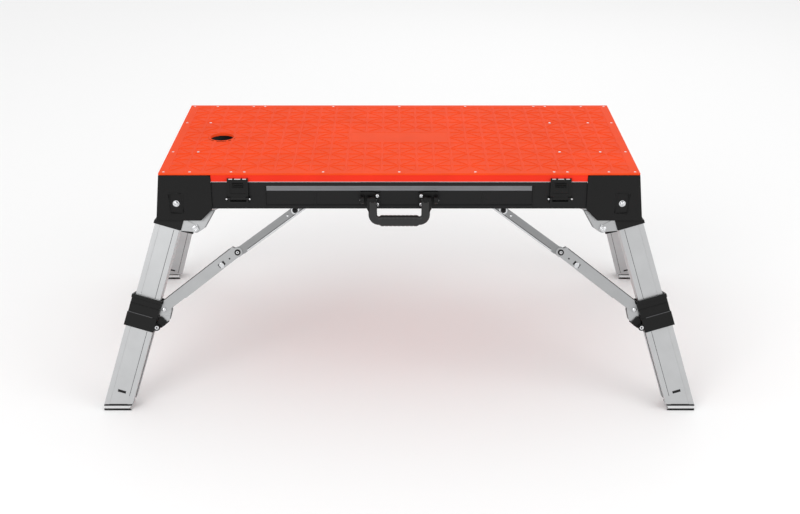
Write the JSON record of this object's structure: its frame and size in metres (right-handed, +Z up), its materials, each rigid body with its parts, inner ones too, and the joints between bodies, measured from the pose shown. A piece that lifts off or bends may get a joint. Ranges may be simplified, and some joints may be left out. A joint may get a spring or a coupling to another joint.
{
  "type": "work platform bench",
  "caption": "Folding work platform bench: patterned deck on a black frame, splayed telescoping legs with knee struts, edge latches and a carrying handle.",
  "frame": {"origin": "on the floor, under the middle of the deck", "axes": "+X along the deck to the right seen from the handle side, +Z up; the handle side faces -Y"},
  "size_m": [1.5152, 0.8582, 0.595],
  "materials": {
    "deck_plastic": "moulded orange deck with a raised grip pattern",
    "frame_coating": "black powder coat",
    "black_plastic": "black moulded nylon",
    "leg_aluminium": "mill-finish extrusion",
    "plated_steel": "zinc-plated pressed sheet",
    "bright_steel": "plated fasteners",
    "foot_rubber": "black rubber pad"
  },
  "bodies": {
    "frame": {"deck_panel": "deck_plastic", "deck_skirts": "deck_plastic", "hole_ring": "deck_plastic", "side_rails": "frame_coating", "sub_frame": "frame_coating", "corner_blocks": "black_plastic", "fasteners": "bright_steel", "hinge_brackets": "plated_steel", "pivot_bolts": "bright_steel", "strut_brackets": "plated_steel", "handle_mount": "black_plastic"},
    "leg_front_left": {"upper_leg_front_left": "leg_aluminium", "leg_boot_front_left": "black_plastic", "hinge_ear_front_left": "plated_steel", "collar_front_left": "black_plastic", "strut_clevis_front_left": "plated_steel"},
    "lower_leg_front_left": {"lower_leg_front_left": "leg_aluminium", "foot_front_left": "foot_rubber"},
    "lock_lever_front_left": {"lock_lever_front_left": "black_plastic"},
    "lower_strut_front_left": {"lower_strut_front_left": "plated_steel", "knee_pin_front_left": "black_plastic"},
    "upper_strut_front_left": {"upper_strut_front_left": "plated_steel"},
    "latch_front_left": {"latch_front_left": "black_plastic"},
    "leg_front_right": {"upper_leg_front_right": "leg_aluminium", "leg_boot_front_right": "black_plastic", "hinge_ear_front_right": "plated_steel", "collar_front_right": "black_plastic", "strut_clevis_front_right": "plated_steel"},
    "lower_leg_front_right": {"lower_leg_front_right": "leg_aluminium", "foot_front_right": "foot_rubber"},
    "lock_lever_front_right": {"lock_lever_front_right": "black_plastic"},
    "lower_strut_front_right": {"lower_strut_front_right": "plated_steel", "knee_pin_front_right": "black_plastic"},
    "upper_strut_front_right": {"upper_strut_front_right": "plated_steel"},
    "latch_front_right": {"latch_front_right": "black_plastic"},
    "leg_back_left": {"upper_leg_back_left": "leg_aluminium", "leg_boot_back_left": "black_plastic", "hinge_ear_back_left": "plated_steel", "collar_back_left": "black_plastic", "strut_clevis_back_left": "plated_steel"},
    "lower_leg_back_left": {"lower_leg_back_left": "leg_aluminium", "foot_back_left": "foot_rubber"},
    "lock_lever_back_left": {"lock_lever_back_left": "black_plastic"},
    "lower_strut_back_left": {"lower_strut_back_left": "plated_steel", "knee_pin_back_left": "black_plastic"},
    "upper_strut_back_left": {"upper_strut_back_left": "plated_steel"},
    "latch_back_left": {"latch_back_left": "black_plastic"},
    "leg_back_right": {"upper_leg_back_right": "leg_aluminium", "leg_boot_back_right": "black_plastic", "hinge_ear_back_right": "plated_steel", "collar_back_right": "black_plastic", "strut_clevis_back_right": "plated_steel"},
    "lower_leg_back_right": {"lower_leg_back_right": "leg_aluminium", "foot_back_right": "foot_rubber"},
    "lock_lever_back_right": {"lock_lever_back_right": "black_plastic"},
    "lower_strut_back_right": {"lower_strut_back_right": "plated_steel", "knee_pin_back_right": "black_plastic"},
    "upper_strut_back_right": {"upper_strut_back_right": "plated_steel"},
    "latch_back_right": {"latch_back_right": "black_plastic"},
    "handle": {"handle": "black_plastic"}
  },
  "joints": [
    {"name": "leg_fold_front_left", "type": "hinge", "parent": "frame", "child": "leg_front_left", "pos_m": [-0.516, -0.26609, 0.43943], "axis": [0, -0.9519, 0.3065], "range_deg": [0, 106.2]},
    {"name": "lower_strut_turn_front_left", "type": "hinge", "parent": "leg_front_left", "child": "lower_strut_front_left", "pos_m": [-0.6005, -0.32969, 0.24192], "axis": [0, -0.9519, 0.3065], "range_deg": [-111, 0]},
    {"name": "knee_front_left", "type": "hinge", "parent": "lower_strut_front_left", "child": "upper_strut_front_left", "pos_m": [-0.41095, -0.28477, 0.38142], "axis": [0, -0.9519, 0.3065], "range_deg": [0, 172]},
    {"name": "leg_slide_front_left", "type": "slide", "parent": "leg_front_left", "child": "lower_leg_front_left", "axis": [0.279, 0.2944, 0.9141], "range_m": [0, 0.182]},
    {"name": "lock_lever_press_front_left", "type": "hinge", "parent": "leg_front_left", "child": "lock_lever_front_left", "pos_m": [-0.61753, -0.34355, 0.19889], "axis": [0, 0.9519, -0.3065], "range_deg": [0, 16], "stiffness_Nm_per_rad": 0.4},
    {"name": "latch_open_front_left", "type": "hinge", "parent": "frame", "child": "latch_front_left", "pos_m": [-0.403, -0.29, 0.529], "axis": [1, 0, 0], "range_deg": [0, 110]},
    {"name": "leg_fold_front_right", "type": "hinge", "parent": "frame", "child": "leg_front_right", "pos_m": [0.516, -0.26609, 0.43943], "axis": [0, 0.9519, -0.3065], "range_deg": [0, 106.2]},
    {"name": "lower_strut_turn_front_right", "type": "hinge", "parent": "leg_front_right", "child": "lower_strut_front_right", "pos_m": [0.6005, -0.32969, 0.24192], "axis": [0, 0.9519, -0.3065], "range_deg": [-111, 0]},
    {"name": "knee_front_right", "type": "hinge", "parent": "lower_strut_front_right", "child": "upper_strut_front_right", "pos_m": [0.41095, -0.28477, 0.38142], "axis": [0, 0.9519, -0.3065], "range_deg": [0, 172]},
    {"name": "leg_slide_front_right", "type": "slide", "parent": "leg_front_right", "child": "lower_leg_front_right", "axis": [-0.279, 0.2944, 0.9141], "range_m": [0, 0.182]},
    {"name": "lock_lever_press_front_right", "type": "hinge", "parent": "leg_front_right", "child": "lock_lever_front_right", "pos_m": [0.61753, -0.34355, 0.19889], "axis": [0, -0.9519, 0.3065], "range_deg": [0, 16], "stiffness_Nm_per_rad": 0.4},
    {"name": "latch_open_front_right", "type": "hinge", "parent": "frame", "child": "latch_front_right", "pos_m": [0.403, -0.29, 0.529], "axis": [1, 0, 0], "range_deg": [0, 110]},
    {"name": "leg_fold_back_left", "type": "hinge", "parent": "frame", "child": "leg_back_left", "pos_m": [-0.516, 0.26609, 0.43943], "axis": [0, -0.9519, -0.3065], "range_deg": [0, 106.2]},
    {"name": "lower_strut_turn_back_left", "type": "hinge", "parent": "leg_back_left", "child": "lower_strut_back_left", "pos_m": [-0.6005, 0.32969, 0.24192], "axis": [0, -0.9519, -0.3065], "range_deg": [-111, 0]},
    {"name": "knee_back_left", "type": "hinge", "parent": "lower_strut_back_left", "child": "upper_strut_back_left", "pos_m": [-0.41095, 0.28477, 0.38142], "axis": [0, -0.9519, -0.3065], "range_deg": [0, 172]},
    {"name": "leg_slide_back_left", "type": "slide", "parent": "leg_back_left", "child": "lower_leg_back_left", "axis": [0.279, -0.2944, 0.9141], "range_m": [0, 0.182]},
    {"name": "lock_lever_press_back_left", "type": "hinge", "parent": "leg_back_left", "child": "lock_lever_back_left", "pos_m": [-0.61753, 0.34355, 0.19889], "axis": [0, 0.9519, 0.3065], "range_deg": [0, 16], "stiffness_Nm_per_rad": 0.4},
    {"name": "latch_open_back_left", "type": "hinge", "parent": "frame", "child": "latch_back_left", "pos_m": [-0.403, 0.29, 0.529], "axis": [-1, 0, 0], "range_deg": [0, 110]},
    {"name": "leg_fold_back_right", "type": "hinge", "parent": "frame", "child": "leg_back_right", "pos_m": [0.516, 0.26609, 0.43943], "axis": [0, 0.9519, 0.3065], "range_deg": [0, 106.2]},
    {"name": "lower_strut_turn_back_right", "type": "hinge", "parent": "leg_back_right", "child": "lower_strut_back_right", "pos_m": [0.6005, 0.32969, 0.24192], "axis": [0, 0.9519, 0.3065], "range_deg": [-111, 0]},
    {"name": "knee_back_right", "type": "hinge", "parent": "lower_strut_back_right", "child": "upper_strut_back_right", "pos_m": [0.41095, 0.28477, 0.38142], "axis": [0, 0.9519, 0.3065], "range_deg": [0, 172]},
    {"name": "leg_slide_back_right", "type": "slide", "parent": "leg_back_right", "child": "lower_leg_back_right", "axis": [-0.279, -0.2944, 0.9141], "range_m": [0, 0.182]},
    {"name": "lock_lever_press_back_right", "type": "hinge", "parent": "leg_back_right", "child": "lock_lever_back_right", "pos_m": [0.61753, 0.34355, 0.19889], "axis": [0, -0.9519, -0.3065], "range_deg": [0, 16], "stiffness_Nm_per_rad": 0.4},
    {"name": "latch_open_back_right", "type": "hinge", "parent": "frame", "child": "latch_back_right", "pos_m": [0.403, 0.29, 0.529], "axis": [-1, 0, 0], "range_deg": [0, 110]},
    {"name": "handle_swing", "type": "hinge", "parent": "frame", "child": "handle", "pos_m": [0, -0.297, 0.528], "axis": [-1, 0, 0], "range_deg": [0, 95]}
  ],
  "couplings": [
    {"joint": "lower_strut_turn_front_left", "follows": "leg_fold_front_left", "ratio": -1.0382},
    {"joint": "knee_front_left", "follows": "leg_fold_front_left", "ratio": 1.5863},
    {"joint": "lower_strut_turn_front_right", "follows": "leg_fold_front_right", "ratio": -1.0382},
    {"joint": "knee_front_right", "follows": "leg_fold_front_right", "ratio": 1.5863},
    {"joint": "lower_strut_turn_back_left", "follows": "leg_fold_back_left", "ratio": -1.0382},
    {"joint": "knee_back_left", "follows": "leg_fold_back_left", "ratio": 1.5863},
    {"joint": "lower_strut_turn_back_right", "follows": "leg_fold_back_right", "ratio": -1.0382},
    {"joint": "knee_back_right", "follows": "leg_fold_back_right", "ratio": 1.5863}
  ]
}
